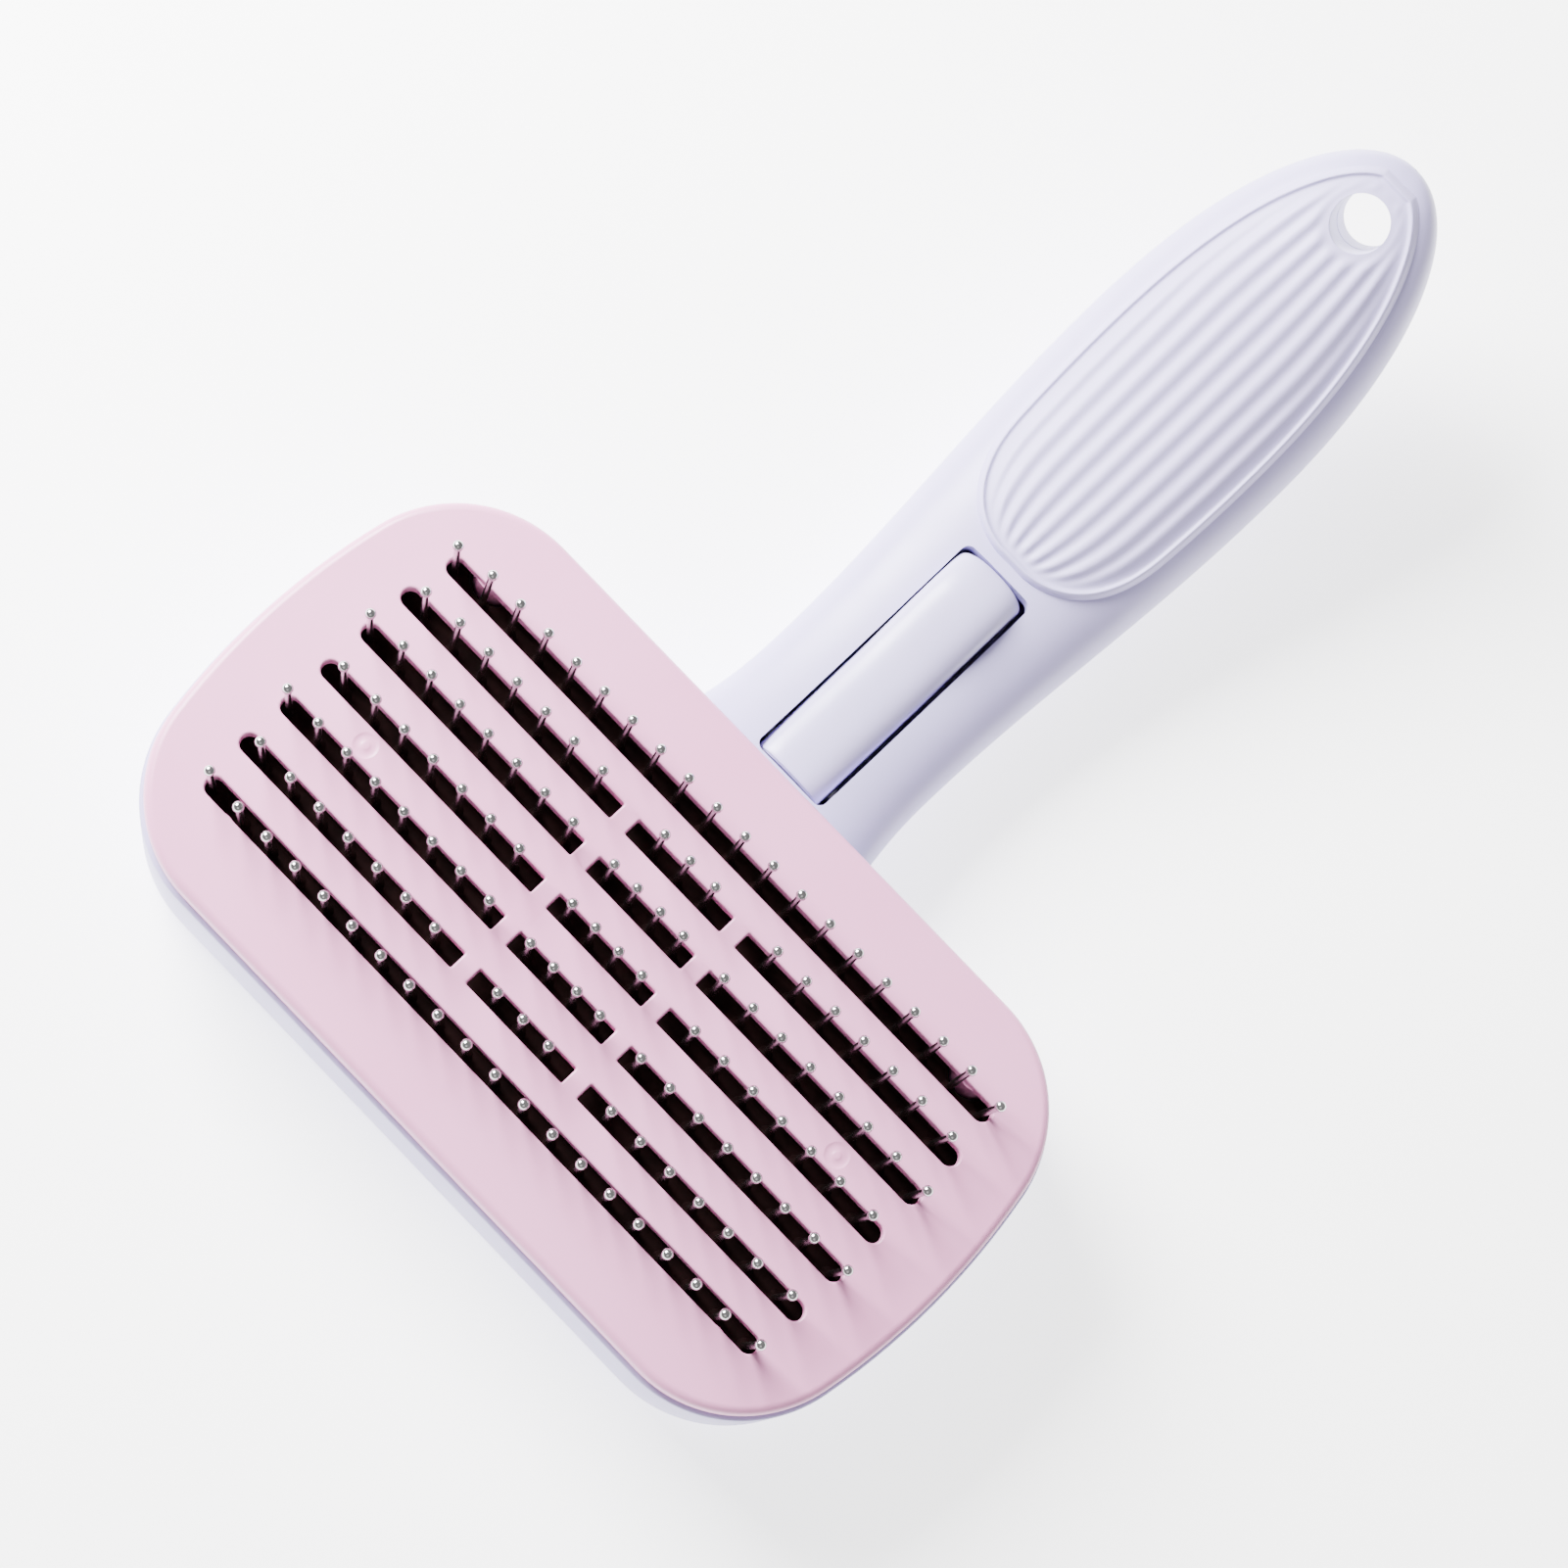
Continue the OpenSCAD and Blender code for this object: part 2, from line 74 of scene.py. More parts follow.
SLOT_FRONT_Y, SLOT_REAR_S = 33.4, 42.3
PIVOT_Y, PIVOT_Z, LINK_Z = 38.0, 8.85, 5.6
LEVER_CROWN = 2.7
CASE_SCREW_S = (60.0, 92.0)

plate_low, plate_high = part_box("stripper_plate")
HEAD_Y = (plate_low.y + plate_high.y) / 2 / MM


# ---- Shape of the handle ---------------------------------------------------------------------
def slope(s):
    """Slope of the centreline at arc length s, in radians."""
    return math.radians(NECK_SLOPE + s / BEND_R * 180 / math.pi)


def line(s):
    """Point of the handle's centreline at arc length s."""
    a0 = math.radians(NECK_SLOPE)
    y = NECK_Y + BEND_R * (math.sin(slope(s)) - math.sin(a0))
    z = NECK_Z + BEND_R * (math.cos(a0) - math.cos(slope(s)))
    return y, z


def at(s, x, n):
    """Point at arc length s, x across and n out of the centreline towards the front."""
    y, z = line(s)
    return Vector((x, HEAD_Y + y - n * math.sin(slope(s)), z + n * math.cos(slope(s))))


def ease(s, a, b):
    """0 up to a, 1 from b on, and a smooth rise between."""
    return (1 - math.cos(math.pi * min(1, max(0, (s - a) / (b - a))))) / 2


def taper(s, end, p):
    """1 up to the belly, then down to 0 at end along a rounded curve of power p."""
    return 1 if s <= BELLY_S else math.sqrt(max(0, 1 - min(1, (s - BELLY_S) / (end - BELLY_S)) ** p))


def half_width(s):
    """Half of the handle's width at s, flared where it meets the head."""
    flare = 0.007 * max(0, WAIST_S - s) ** 2
    return (WAIST_HW + (BELLY_HW - WAIST_HW) * ease(s, WAIST_S, BELLY_S) + flare) * taper(s, HANDLE_END, 2.3)


def thickness(s, side):
    """Depth of the handle at s from its centreline to the front (side 1) or the back (side -1)."""
    if side > 0:
        t = NECK_FRONT_T + (BELLY_FRONT_T - NECK_FRONT_T) * ease(s, 0, 60)
    else:
        t = BACK_T
    return t * taper(s, HANDLE_END, 2.6)


def crown(s, x):
    """Height of the handle's front surface over the centreline at (s, x)."""
    return thickness(s, 1) * max(0, 1 - abs(x / half_width(s)) ** SECTION_P) ** (1 / SECTION_P)


def half_section(a, h, side, count=48):
    """Half of a rounded-box section, a wide to each side and h deep towards side."""
    pts = []
    for i in range(count + 1):
        t = math.pi * i / count
        c, k = math.cos(t), math.sin(t)
        x = a * math.copysign(abs(c) ** (2 / SECTION_P), c)
        pts.append((x, side * h * abs(k) ** (2 / SECTION_P)))
    return pts


def stations(first):
    """Arc lengths along the handle, closer together towards the tip."""
    body = list(np.arange(first, 96, 1.6))
    tip = [96 + (HANDLE_END - 0.02 - 96) * math.sin(math.pi / 2 * k / 40) for k in range(41)]
    return body + tip


# ---- Mesh helpers ------------------------------------------------------------------------------
def new_object(name, verts, faces, material, body, slot, replaces=(), sharp=38):
    """A mesh from points in mm, its normals made consistent and its sharp edges marked."""
    mesh = bpy.data.meshes.new(name)
    mesh.from_pydata([tuple(Vector(v) * MM) for v in verts], [], faces)
    bm = bmesh.new()
    bm.from_mesh(mesh)
    bmesh.ops.remove_doubles(bm, verts=bm.verts, dist=1e-7)
    bmesh.ops.recalc_face_normals(bm, faces=bm.faces)
    bm.to_mesh(mesh)
    bm.free()
    obj = bpy.data.objects.new(name, mesh)
    bpy.context.collection.objects.link(obj)
    mesh.materials.append(material)
    finish_shading(mesh, sharp)
    if body:
        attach(obj, body)
        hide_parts(*replaces)
    return obj


def finish_shading(mesh, sharp=38):
    """Smooth shading, with edges over the given angle in degrees kept sharp."""
    mesh.shade_smooth()
    mesh.set_sharp_from_angle(angle=math.radians(sharp))


def loft(rings):
    """Points and faces that skin equal closed rings, with a flat cap on each end."""
    n = len(rings[0])
    verts = [p for ring in rings for p in ring]
    faces = []
    for j in range(len(rings) - 1):
        for i in range(n):
            k = (i + 1) % n
            faces.append((j * n + i, j * n + k, (j + 1) * n + k, (j + 1) * n + i))
    faces.append(tuple(reversed(range(n))))
    faces.append(tuple(range((len(rings) - 1) * n, len(rings) * n)))
    return verts, faces


def merged(parts):
    """Several (points, faces) pairs as one."""
    verts, faces = [], []
    for v, f in parts:
        base = len(verts)
        verts += list(v)
        faces += [tuple(i + base for i in face) for face in f]
    return verts, faces


def lathe(profile, origin, axis, sides):
    """Turns a profile of (radius, height) about an axis; radius 0 at an end closes it."""
    axis = Vector(axis).normalized()
    u = axis.orthogonal().normalized()
    v = axis.cross(u)
    verts, faces = [], []
    rows = []
    for r, h in profile:
        centre = Vector(origin) + axis * h
        if r < 1e-9:
            rows.append([len(verts)])
            verts.append(centre)
            continue
        rows.append(list(range(len(verts), len(verts) + sides)))
        for k in range(sides):
            a = 2 * math.pi * k / sides
            verts.append(centre + (u * math.cos(a) + v * math.sin(a)) * r)
    for lower, upper in zip(rows, rows[1:]):
        for k in range(sides):
            quad = [lower[k % len(lower)], lower[(k + 1) % len(lower)],
                    upper[(k + 1) % len(upper)], upper[k % len(upper)]]
            faces.append(tuple(dict.fromkeys(quad)))
    return verts, [f for f in faces if len(f) > 2]


def cut(obj, cutters, sharp=38):
    """Takes the cutters' solids out of obj."""
    for verts, faces in cutters:
        tool = new_object("cutter", verts, faces, obj.data.materials[0], None, None)
        mod = obj.modifiers.new("cut", "BOOLEAN")
        mod.operation, mod.solver, mod.object = "DIFFERENCE", "EXACT", tool
        apply_modifiers(obj)
        bpy.data.objects.remove(tool)
    finish_shading(obj.data, sharp)


def apply_modifiers(obj):
    """Puts the result of the modifiers in place of the object's mesh."""
    bpy.context.view_layer.update()
    result = bpy.data.meshes.new_from_object(obj.evaluated_get(bpy.context.evaluated_depsgraph_get()))
    old = obj.data
    obj.modifiers.clear()
    obj.data = result
    bpy.data.meshes.remove(old)


def arc(cx, cy, r, a0, a1, count, first=0, last=0):
    """Points round a centre from angle a0 to a1 in degrees, less some at the first or last end."""
    return [
        (cx + r * math.cos(math.radians(a0 + (a1 - a0) * k / count)),
         cy + r * math.sin(math.radians(a0 + (a1 - a0) * k / count)))
        for k in range(first, count + 1 - last)
    ]


def head_outline(d):
    """The head's outline moved outwards by d, centred on the head."""
    cy = PLATE_W / 2 - CORNER_R
    side_x = PLATE_L / 2 - SIDE_R
    cx = side_x + math.sqrt((SIDE_R - CORNER_R) ** 2 - cy**2)
    bow = math.degrees(math.atan2(cy, cx - side_x))
    n, m = 14, 24
    return (
        arc(side_x, 0, SIDE_R + d, -bow, bow, n)
        + arc(cx, cy, CORNER_R + d, bow, 90, m, first=1)
        + arc(-cx, cy, CORNER_R + d, 90, 180 - bow, m, last=1)
        + arc(-side_x, 0, SIDE_R + d, 180 - bow, 180 + bow, n)
        + arc(-cx, -cy, CORNER_R + d, 180 + bow, 270, m, first=1)
        + arc(cx, -cy, CORNER_R + d, 270, 360 - bow, m, last=1)
    )


def at_head(points, z):
    """Flat points about the head's middle, at height z."""
    return [Vector((x, HEAD_Y + y, z)) for x, y in points]


def prism_x(outline_yz, x0, x1):
    """Solid from a side outline in (y, z), y counted from the head's middle."""
    ring = [[Vector((x, HEAD_Y + y, z)) for y, z in outline_yz] for x in (x0, x1)]
    return loft(ring)


def box_solid(x, y, z):
    """Box from its (low, high) pairs, y counted from the head's middle."""
    return prism_x([(y[0], z[0]), (y[1], z[0]), (y[1], z[1]), (y[0], z[1])], x[0], x[1])


def rod(s, n0, n1, r, sides=48):
    """Cylinder square to the handle's centreline at s."""
    base = at(s, 0, n0)
    return lathe([(0, 0), (r, 0), (r, n1 - n0), (0, n1 - n0)], base, at(s, 0, n1) - base, sides)


def hanging_hole(r=HOLE_R):
    """Cutter for the hanging hole, longer than the handle is deep."""
    return rod(HOLE_S, -14, 14, r, 64)


# ---- Materials ---------------------------------------------------------------------------------
def nodes_of(material):
    """An empty node tree that holds one Principled shader."""
    material.use_nodes = True
    tree = material.node_tree
    tree.nodes.clear()
    out = tree.nodes.new("ShaderNodeOutputMaterial")
    shader = tree.nodes.new("ShaderNodeBsdfPrincipled")
    tree.links.new(shader.outputs[0], out.inputs[0])
    return tree, shader


def noise(tree, scale, detail):
    """Noise in the object's own metres."""
    coords = tree.nodes.new("ShaderNodeTexCoord")
    tex = tree.nodes.new("ShaderNodeTexNoise")
    tex.inputs["Scale"].default_value = scale
    tex.inputs["Detail"].default_value = detail
    tex.inputs["Roughness"].default_value = 0.5
    tree.links.new(coords.outputs["Object"], tex.inputs["Vector"])
    return tex.outputs["Fac"]


def between(tree, value, low, high):
    """Maps a noise value to a range of numbers."""
    node = tree.nodes.new("ShaderNodeMapRange")
    node.inputs["From Min"].default_value, node.inputs["From Max"].default_value = 0.3, 0.7
    node.inputs["To Min"].default_value, node.inputs["To Max"].default_value = low, high
    tree.links.new(value, node.inputs["Value"])
    return node.outputs[0]


def two_tones(tree, value, a, b):
    """Blends from colour a to colour b as a noise value rises."""
    ramp = tree.nodes.new("ShaderNodeValToRGB")
    ramp.color_ramp.elements[0].position, ramp.color_ramp.elements[1].position = 0.35, 0.65
    ramp.color_ramp.elements[0].color, ramp.color_ramp.elements[1].color = (*a, 1), (*b, 1)
    tree.links.new(value, ramp.inputs[0])
    return ramp.outputs[0]


def bump(tree, shader, height, strength, distance):
    """Fine relief, distance in mm."""
    node = tree.nodes.new("ShaderNodeBump")
    node.inputs["Strength"].default_value = strength
    node.inputs["Distance"].default_value = distance * MM
    tree.links.new(height, node.inputs["Height"])
    tree.links.new(node.outputs[0], shader.inputs["Normal"])


def plastic(name, a, b, rough=(0.3, 0.38), grain=2500, strength=0.15, depth=0.01, drift=45, specular=0.5):
    """Moulded plastic: two close tones that drift slowly, fine grain and slightly uneven gloss."""
    material = bpy.data.materials.new(name)
    tree, shader = nodes_of(material)
    tree.links.new(two_tones(tree, noise(tree, drift, 2), a, b), shader.inputs["Base Color"])
    tree.links.new(between(tree, noise(tree, drift * 3, 3), *rough), shader.inputs["Roughness"])
    shader.inputs["Specular IOR Level"].default_value = specular
    bump(tree, shader, noise(tree, grain, 3), strength, depth)
    return material


def steel(name, a, b, rough=(0.12, 0.22)):
    """Plain steel: two close greys and a slightly uneven polish."""
    material = bpy.data.materials.new(name)
    tree, shader = nodes_of(material)
    shader.inputs["Metallic"].default_value = 1.0
    tree.links.new(two_tones(tree, noise(tree, 900, 3), a, b), shader.inputs["Base Color"])
    tree.links.new(between(tree, noise(tree, 1400, 3), *rough), shader.inputs["Roughness"])
    bump(tree, shader, noise(tree, 3000, 2), 0.1, 0.004)
    return material


LILAC = plastic("lilac_plastic", (0.500, 0.450, 0.760), (0.520, 0.470, 0.780), rough=(0.34, 0.42))
LILAC_LEVER = plastic("lever_plastic", (0.530, 0.485, 0.770), (0.550, 0.505, 0.790), rough=(0.28, 0.36))
LILAC_PAD = plastic("pad_rubber", (0.500, 0.450, 0.750), (0.520, 0.470, 0.770), rough=(0.50, 0.60),
                    grain=3500, strength=0.25)
PINK = plastic("pink_plate", (0.740, 0.290, 0.520), (0.760, 0.315, 0.545), rough=(0.30, 0.38), drift=30)
# Lift frame: the plate's pink darkened to maroon, painted shade for the dark gap round the lever.
PINK_FRAME_PAINTED_SHADE = plastic("pink_frame_painted_shade", (0.60, 0.10, 0.16), (0.66, 0.13, 0.19), rough=(0.35, 0.45))
# Cushion: dark rubber, its red tint painted light, the pink light that comes through the plate.
MAT_RED_LIGHT_PAINTED = plastic("dark_rubber_painted_red_light", (0.008, 0.003, 0.003), (0.016, 0.006, 0.006), rough=(0.75, 0.9), grain=1800,
              strength=0.4, depth=0.05, drift=250, specular=0.08)
BOARD = plastic("dark_board", (0.012, 0.009, 0.009), (0.018, 0.012, 0.012), rough=(0.4, 0.5))
PIN_STEEL = steel("pin_steel", (0.46, 0.45, 0.45), (0.54, 0.53, 0.53))
SCREW_STEEL = steel("screw_steel", (0.50, 0.50, 0.52), (0.58, 0.58, 0.60), rough=(0.25, 0.38))
SPRING_STEEL = steel("spring_steel", (0.52, 0.52, 0.54), (0.60, 0.60, 0.62), rough=(0.2, 0.3))


# ---- Head --------------------------------------------------------------------------------------
def head_bowl():
    """Deep tray with a rounded lower edge, a lipped rim and a gap for the lever's arm."""
    lip, steps = 0.35, 12
    turns = [math.pi / 2 * k / steps for k in range(steps + 1)]
    profile = [(-BOWL_R * (1 - math.sin(a)), BOWL_R * (1 - math.cos(a))) for a in turns]
    profile += [(0, RIM_Z - lip), (-0.1, RIM_Z - 0.1), (-lip, RIM_Z), (-WALL + 0.2, RIM_Z),
                (-WALL, RIM_Z - 0.2), (-WALL, BOWL_R), (-WALL - 2, FLOOR_T)]
    rings = [at_head(head_outline(RIM_OUT + d), z) for d, z in profile]
    obj = new_object("head_bowl", *loft(rings), LILAC, "housing", "shell", ["back_shell"], sharp=50)
    passage = box_solid((-5, 5), (NECK_Y - 3, NECK_Y + 5), (BOWL_R + 0.2, 14.5))
    cut(obj, [passage], sharp=50)


def shell_section(s, side):
    """Closed section of a shell half: outer crown, then the hollow's crown back."""
    hollow, relief = taper(s, CAVITY_S, 4), 0.2
    outer = half_section(half_width(s), thickness(s, side), side)
    inner_w = max(half_width(s) - WALL, 0.6 * half_width(s)) * (0.6 + 0.4 * hollow)
    inner_h = min(relief, 0.5 * thickness(s, side)) + max(0, thickness(s, side) - WALL - relief) * hollow
    inner = half_section(inner_w, inner_h, side)
    return outer + inner[::-1]


SOCKET_R, SOCKET_DEPTH = 3, 3.6


def screw_boss(s):
    """Post for a case screw, with a wide socket for its head and a through hole."""
    boss_r, hole_r = 4.2, 1.6
    foot, step, top = -thickness(s, -1) + 1, -thickness(s, -1) + SOCKET_DEPTH, -0.2
    profile = [(SOCKET_R, foot), (boss_r, foot), (boss_r, top), (hole_r, top),
               (hole_r, step), (SOCKET_R, step), (SOCKET_R, foot)]
    return lathe(profile, at(s, 0, 0), at(s, 0, 1) - at(s, 0, 0), 48)


def handle_back():
    """Back half of the handle, the bosses for the lever's pivot and the posts for the case screws."""
    rings = [[at(s, x, n) for x, n in shell_section(s, -1)] for s in stations(1.2)]
    bosses = [screw_boss(s) for s in CASE_SCREW_S]
    pivot_r, pivot_w = 3, 7.2
    pivots = [lathe([(0, 0), (pivot_r, 0), (pivot_r, pivot_w), (0, pivot_w)],
                    (x, HEAD_Y + PIVOT_Y, PIVOT_Z), (1, 0, 0), 40) for x in (-13.6, 6.4)]
    obj = new_object("handle_back", *loft(rings), LILAC, "housing", "shell", ["back_shell"], sharp=50)
    holes = [hanging_hole()]
    holes += [rod(s, -thickness(s, -1) - 2, -thickness(s, -1) + SOCKET_DEPTH, SOCKET_R) for s in CASE_SCREW_S]
    cut(obj, holes, sharp=50)
    new_object("handle_bosses", *merged(pivots), LILAC, "housing", "shell", sharp=50)
    new_object("screw_bosses", *merged(bosses), LILAC, "housing", "shell", sharp=50)


def square_front(s, n, s_first, s_last):
    """Arc length moved so that the cover's front end is a flat face across the head."""
    y_cut = PLATE_W / 2 + RIM_OUT + 0.1
    first = s_first
    for _ in range(8):
        first += y_cut - (line(first)[0] - n * math.sin(slope(first)))
    if s >= s_last:
        return s
    return first + (s - s_first) * (s_last - first) / (s_last - s_first)


def handle_cover():
    """Front half of the handle with the lever's opening, and its posts for the case screws."""
    front, blend = 2.7, 12.3
    rings = [[at(square_front(s, n, front, blend), x, n) for x, n in shell_section(s, 1)]
             for s in stations(front)]
    obj = new_object("handle_cover_skin", *loft(rings), LILAC, "housing", "shell", ["handle_cover"], sharp=50)
    c, y0, y1, r = LEVER_SLOT_HW, SLOT_FRONT_Y, line(SLOT_REAR_S)[0], 1.2
    plan = (arc(c - r, y1 - r, r, 0, 90, 8) + arc(r - c, y1 - r, r, 90, 180, 8)
            + arc(r - c, y0 + r, r, 180, 270, 8) + arc(c - r, y0 + r, r, 270, 360, 8))
    opening = loft([at_head(plan, NECK_Z - 6), at_head(plan, RIM_Z + 14)])
    cut(obj, [opening, hanging_hole()], sharp=50)
    posts = [rod(s, 0.1, thickness(s, 1) - 1, 3.2) for s in CASE_SCREW_S]
    new_object("cover_posts", *merged(posts), LILAC, "housing", "shell", sharp=50)


# ---- Grip pad ----------------------------------------------------------------------------------
def rib_half_width(s):
    """Half of the width that the ribs spread over at s, with a round end by the lever."""
    full_s = 62
    rear = max(0.001, 1 - max(0, (full_s - s) / (full_s - PAD_S0)) ** 2.6) ** (1 / 2.4)
    side = WAIST_HW + (BELLY_HW - WAIST_HW) * ease(s, WAIST_S, BELLY_S) - 3.3
    return side * rear


def pad_half_width(s):
    """Half of the pad's width at s, with the point of its oval at the handle's end."""
    return rib_half_width(s) * taper(s, PAD_S1 + 0.6, 2.3)


def grip_pad():
    """Oval pad with a bead round its edge and lengthwise ribs that close in at both ends."""
    ribs, across, along = 10, 216, 180
    edge_w, edge_lift, sunk = 0.35, 0.38, 0.35
    bead_in, bead_w, bead_lift = 0.7, 0.38, 0.5
    rib_foot, rib_lift = 0.08, 0.34
    first, last = PAD_S0 + 0.1, PAD_S1
    middle, reach = (first + last) / 2, (last - first) / 2
    s_list = [middle - reach * math.cos(math.pi * j / along) for j in range(along + 1)]
    u_list = [-math.cos(math.pi * i / across) * 0.35 + (2 * i / across - 1) * 0.65 for i in range(across + 1)]
    edge = np.array([(s, k * pad_half_width(s)) for s in s_list for k in (-1, 1)]
                    + [(s, u * pad_half_width(s)) for s in (first, last) for u in u_list[::6]])
    top, bottom = [], []
    for s in s_list:
        w, spread = pad_half_width(s), rib_half_width(s) * (1 - 0.35 * ease(s, 88, 124))
        xs = np.array(u_list) * w
        gap = np.sqrt(((edge[None, :, 0] - s) ** 2) + (edge[None, :, 1] - xs[:, None]) ** 2).min(axis=1)
        up, low = [], []
        for x, d in zip(xs, gap):
            bead = math.exp(-((d - bead_in) / bead_w) ** 2)
            rise = min(1, d / edge_w)
            fade = ease(d, 1.4, 3.6)
            rib = 0.5 + 0.5 * math.cos(math.pi * ribs * x / spread)
            fade *= ease(math.hypot(s - HOLE_S, x), HOLE_R + 0.3, HOLE_R + 2.2)
            lift = rise * (edge_lift + bead_lift * bead) + fade * (rib_foot + rib_lift * rib)
            n = crown(s, x)
            up.append(at(s, x, n + min(PAD_T, lift)))
            low.append(at(s, x, n - sunk))
        top.append(up)
        bottom.append(low)
    rings = [up + low[::-1] for up, low in zip(top, bottom)]
    obj = new_object("grip_pad_ribbed", *loft(rings), LILAC_PAD, "housing", "pad", ["grip_pad"], sharp=60)
    cut(obj, [hanging_hole(HOLE_R + 0.02)], sharp=60)


# ---- Stripper plate ----------------------------------------------------------------------------
def slot_outline(x0, x1, y, grow, round0, round1):
    """Flat outline of a slot from x0 to x1, grown by a margin, with round or square ends."""
    r = SLOT_W / 2 + grow
    corner = 0.25 + grow
    if round1:
        right = arc(x1 - SLOT_W / 2, y, r, -90, 90, 16)
    else:
        x = x1 + grow - corner
        right = arc(x, y - r + corner, corner, -90, 0, 4) + arc(x, y + r - corner, corner, 0, 90, 4)
    if round0:
        left = arc(x0 + SLOT_W / 2, y, r, 90, 270, 16)
    else:
        x = x0 - grow + corner
        left = arc(x, y + r - corner, corner, 90, 180, 4) + arc(x, y - r + corner, corner, 180, 270, 4)
    return right + left


def slot_places():
    """(x0, x1, y, round start, round end) of every slot."""
    b = BRIDGE_W / 2
    for k in ROWS:
        y = (MIDDLE_ROW - k) * ROW_PITCH
        if k in (1, 7):
            yield -SLOT_HALF_LONG, SLOT_HALF_LONG, y, True, True
        else:
            yield -SLOT_HALF, -BRIDGE_X - b, y, True, False
            yield -BRIDGE_X + b, BRIDGE_X - b, y, False, False
            yield BRIDGE_X + b, SLOT_HALF, y, False, True


def stripper_plate():
    """Plate with a rounded border, soft slot rims, two moulding marks and its four guide posts."""
    bm = bmesh.new()

    def ring(points, z):
        return [bm.verts.new((x * MM, (HEAD_Y + y) * MM, z * MM)) for x, y in points]

    def skin(loops):
        for a, b in zip(loops, loops[1:]):
            for i in range(len(a)):
                j = (i + 1) % len(a)
                bm.faces.new((a[i], a[j], b[j], b[i]))

    def fill(loops):
        edges = []
        for loop in loops:
            for i in range(len(loop)):
                pair = (loop[i], loop[(i + 1) % len(loop)])
                edges.append(bm.edges.get(pair) or bm.edges.new(pair))
        bmesh.ops.triangle_fill(bm, use_beauty=True, use_dissolve=False, edges=edges)

    edge_r, rim_r, steps = 1.2, 0.32, 7
    turns = [math.pi / 2 * k / steps for k in range(steps + 1)]
    outer = [ring(head_outline(-edge_r * (1 - math.cos(a))), FACE_Z - edge_r * (1 - math.sin(a)))
             for a in turns[::-1]]
    low, skirt_w, rim_steps = 0.25, 1.8, 4
    border = outer + [ring(head_outline(0), SKIRT_Z + low), ring(head_outline(-low), SKIRT_Z),
                      ring(head_outline(-skirt_w), SKIRT_Z), ring(head_outline(-skirt_w), FACE_Z - SKIN)]
    skin(border)
    tops, undersides = [border[0]], [border[-1]]
    for x0, x1, y, r0, r1 in slot_places():
        loops = [ring(slot_outline(x0, x1, y, rim_r * (1 - math.sin(a)), r0, r1), FACE_Z - rim_r * (1 - math.cos(a)))
                 for a in (math.pi / 2 * k / rim_steps for k in range(rim_steps + 1))]
        loops.append(ring(slot_outline(x0, x1, y, 0, r0, r1), FACE_Z - SKIN))
        skin(loops)
        tops.append(loops[0])
        undersides.append(loops[-1])
    dimple = ((1.75, 0), (1.6, 0.03), (1.45, 0.11), (1.1, 0.12), (0.62, 0.1), (0.5, 0.03), (0.42, 0.01))
    for x, y in ((-38, -3.4), (38, 3.4)):
        marks = [ring(arc(x, y, r, 0, 360, 40, last=1), FACE_Z - d) for r, d in dimple]
        skin(marks)
        fill([marks[-1]])
        tops.append(marks[0])
    fill(tops)
    fill(undersides)
    bmesh.ops.recalc_face_normals(bm, faces=bm.faces)
    mesh = bpy.data.meshes.new("stripper_plate_skin")
    bm.to_mesh(mesh)
    bm.free()
    mesh.materials.append(PINK)
    obj = bpy.data.objects.new("stripper_plate_skin", mesh)
    bpy.context.collection.objects.link(obj)
    finish_shading(mesh, 40)
    weigh = obj.modifiers.new("weigh", "WEIGHTED_NORMAL")
    weigh.weight, weigh.keep_sharp = 100, True
    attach(obj, "plate_carriage")
    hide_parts("stripper_plate")
    post_h = FACE_Z - SKIN + 0.4 - FRAME_TOP
    posts = [lathe([(0, 0), (POST_R, 0), (POST_R, post_h), (0, post_h)], (x, HEAD_Y + y, FRAME_TOP), (0, 0, 1), 40)
             for x in (-POST_X, POST_X) for y in (-POST_Y, POST_Y)]
    new_object("guide_posts", *merged(posts), PINK, "plate_carriage", "plate", sharp=50)


# ---- Pins and cushion --------------------------------------------------------------------------
def row_places(k):
    """Places of the pins along row k."""
    if k in (1, 7):
        return [4.92 * (i - 9.5) for i in range(20)]
    side = [13.1 + 4.95 * i for i in range(8)] if k in (3, 5) else [15.2 + 5 * i for i in range(7)]
    middle = [4.4 * i for i in (-1, 0, 1)] if k in (2, 6) else [4 * (i - 1.5) for i in range(4)]
    return [-x for x in side] + middle + side


def pin_axis(k, i, places):
    """Foot of a pin at the cushion's top, and the step from there to its ball's centre."""
    at_end = places[i] in (min(places), max(places))
    lean_x = math.copysign(0.6, places[i]) if at_end else 0
    lean_y = ROW_FAN * (MIDDLE_ROW - k) * (0.3 if at_end else 1)
    foot = Vector((places[i], HEAD_Y + (MIDDLE_ROW - k) * ROW_PITCH, CUSHION_TOP))
    return foot, Vector((lean_x, lean_y, FACE_Z + PIN_PROUD - BALL_R - CUSHION_TOP))


def pins():
    """Wire pins, each with a polished ball melted onto its end."""
    rooted, ball_steps = 1.7, 12
    below = CUSHION_TOP - BOARD_TOP + rooted
    neck = math.asin(WIRE_R / BALL_R)
    for k in ROWS:
        parts = []
        places = row_places(k)
        for i in range(len(places)):
            foot, step = pin_axis(k, i, places)
            length = step.length + below
            profile = [(0, 0), (WIRE_R, 0), (WIRE_R, length - BALL_R * math.cos(neck) - 0.35),
                       (WIRE_R * 1.04, length - BALL_R * math.cos(neck) - 0.1)]
            for j in range(ball_steps + 1):
                a = -math.pi / 2 + neck + (math.pi - neck) * j / ball_steps
                r = max(0, BALL_R * math.cos(a)) if j < ball_steps else 0
                profile.append((r, length + BALL_R * math.sin(a)))
            parts.append(lathe(profile, foot - step.normalized() * below, step, 20))
        new_object(f"pins_{k}", *merged(parts), PIN_STEEL, "housing", "pins", [f"pin_row_{k}"], sharp=60)


